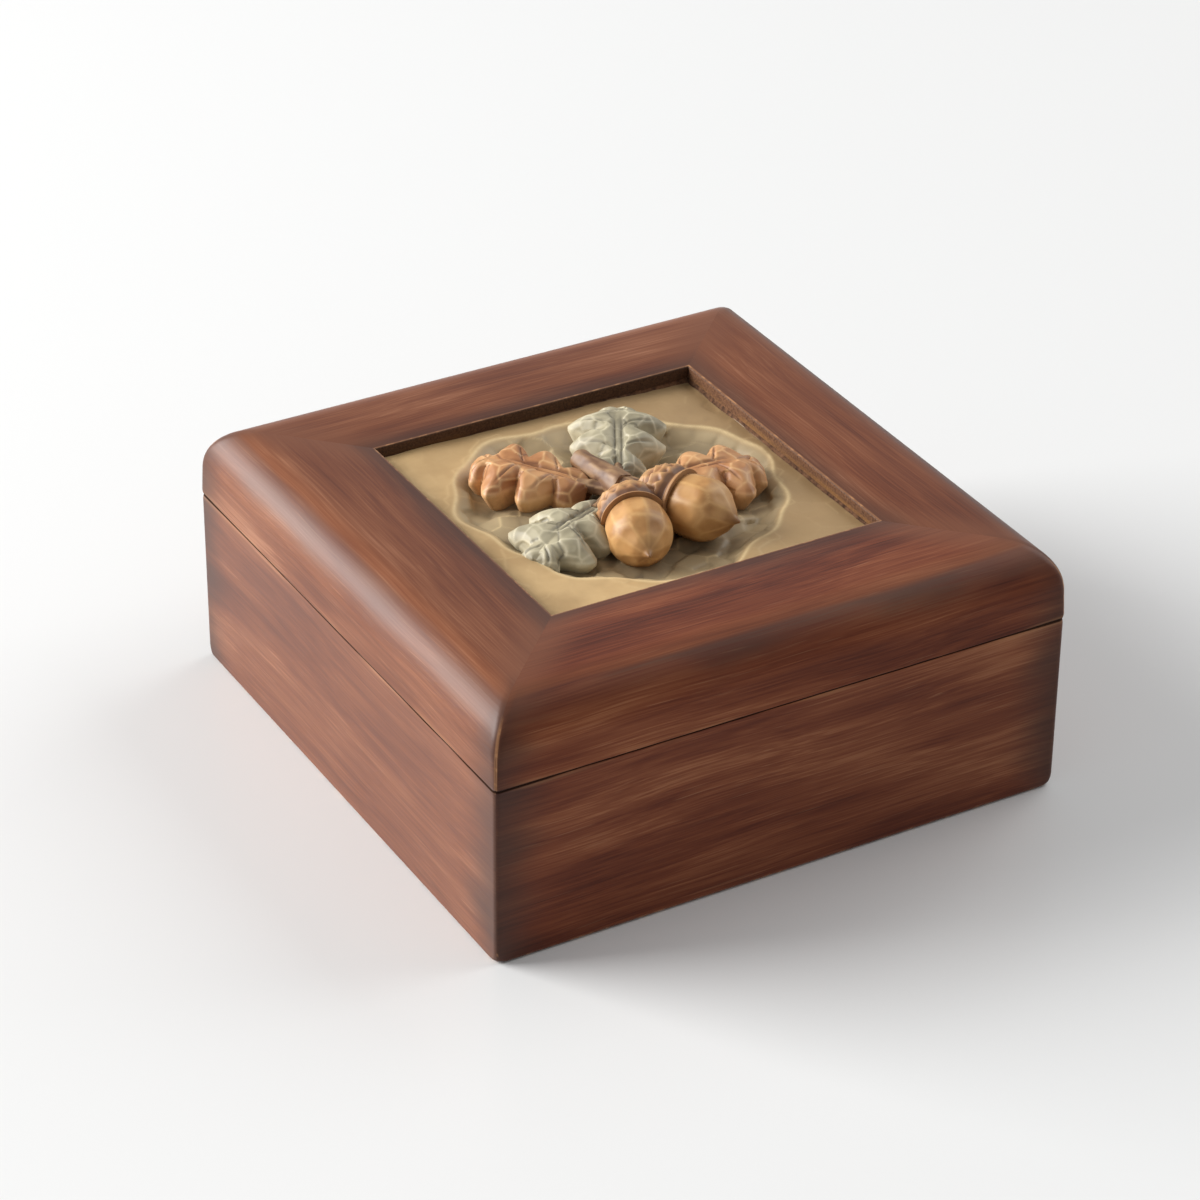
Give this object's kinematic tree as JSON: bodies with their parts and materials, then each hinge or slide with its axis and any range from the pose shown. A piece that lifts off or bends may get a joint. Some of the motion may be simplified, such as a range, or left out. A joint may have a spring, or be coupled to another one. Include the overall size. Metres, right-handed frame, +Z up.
{
  "type": "keepsake box",
  "caption": "Square wooden keepsake box with a hinged lid: mitred walls, a rounded frame lid round a carved oak-leaf panel, felt linings and brass stop hinges.",
  "frame": {"origin": "middle of the underside, on the surface the box stands on", "axes": "+Z up, -Y towards the front where the lid is lifted, +X to the right seen from the front; the hinges are at +Y"},
  "size_m": [0.146, 0.1506, 0.0731],
  "materials": {
    "stained_wood": "hand-brushed reddish-brown stain, satin, smoky at the edges",
    "carved_wood": "hand-carved, ochre and brown washes with sage leaves",
    "board": "plain sanded board",
    "felt": "dark brown felt",
    "brass": "satin brass, slightly dulled"
  },
  "bodies": {
    "base": {"base_front_wall": "stained_wood", "base_right_wall": "stained_wood", "base_back_wall": "stained_wood", "base_left_wall": "stained_wood", "base_bottom": "board", "base_lining": "felt", "base_felt": "felt", "left_hinge_base_leaf": "brass", "right_hinge_base_leaf": "brass", "left_hinge_pin": "brass", "right_hinge_pin": "brass", "base_hinge_screws": "brass"},
    "lid": {"lid_front_rail": "stained_wood", "lid_right_rail": "stained_wood", "lid_back_rail": "stained_wood", "lid_left_rail": "stained_wood", "carved_panel": "carved_wood", "lid_backing": "board", "lid_backing_screws": "brass", "lid_lining": "felt", "left_hinge_lid_leaf": "brass", "right_hinge_lid_leaf": "brass", "lid_hinge_screws": "brass"}
  },
  "joints": [
    {"name": "lid_hinge", "type": "hinge", "parent": "base", "child": "lid", "pos_m": [0, 0.0752, 0.045], "axis": [-1, 0, 0], "range_deg": [0, 97]}
  ]
}
